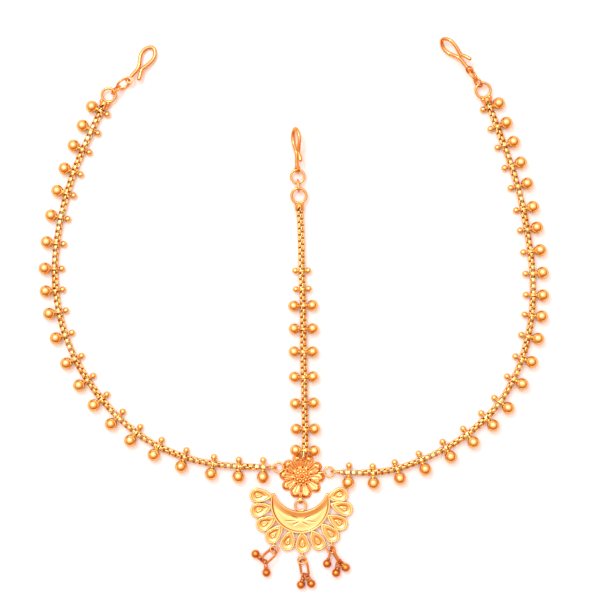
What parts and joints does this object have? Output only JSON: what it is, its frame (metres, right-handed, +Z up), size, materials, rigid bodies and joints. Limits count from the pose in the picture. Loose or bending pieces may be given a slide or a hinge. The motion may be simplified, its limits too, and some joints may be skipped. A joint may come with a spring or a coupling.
{
  "type": "maang tikka head jewel",
  "caption": "Head jewel with a flower rosette, a crescent pendant with small bells, and three beaded chain strands ending in hair hooks.",
  "frame": {"origin": "middle of the rosette's flat back, on the surface the jewel lies on", "axes": "+Z up out of the jewel's face, +Y from the crescent pendant towards the hair hooks, +X to the viewer's right"},
  "size_m": [0.1525, 0.1649, 0.0049],
  "materials": {
    "gold_casting": "polished gold plate over brass casting",
    "gold_relief": "bright gold plate with darker recesses",
    "gold_chain": "polished gold plated box chain",
    "gold_beads": "mirror polished gold plate on hollow balls",
    "gold_wire": "drawn wire with gold plate",
    "gold_bells": "satin gold plate on small bells"
  },
  "bodies": {
    "root": {"rosette": "gold_casting", "crescent_pendant": "gold_relief", "left_chain": "gold_chain", "right_chain": "gold_chain", "centre_chain": "gold_chain", "left_bead_drops": "gold_beads", "right_bead_drops": "gold_beads", "centre_bead_drops": "gold_beads", "left_jump_ring": "gold_wire", "right_jump_ring": "gold_wire", "left_end_ring": "gold_wire", "left_oval_link": "gold_wire", "left_hook_ring": "gold_wire", "left_hook": "gold_wire", "left_bell_ring": "gold_wire", "right_end_ring": "gold_wire", "right_oval_link": "gold_wire", "right_hook_ring": "gold_wire", "right_hook": "gold_wire", "right_bell_ring": "gold_wire", "centre_end_ring": "gold_wire", "centre_oval_link": "gold_wire", "centre_hook_ring": "gold_wire", "centre_hook": "gold_wire", "centre_bell_ring": "gold_wire", "left_bell_1": "gold_bells", "left_bell_2": "gold_bells", "centre_bell_1": "gold_bells", "centre_bell_2": "gold_bells", "right_bell_1": "gold_bells", "right_bell_2": "gold_bells", "right_bell_3": "gold_bells"}
  },
  "joints": []
}
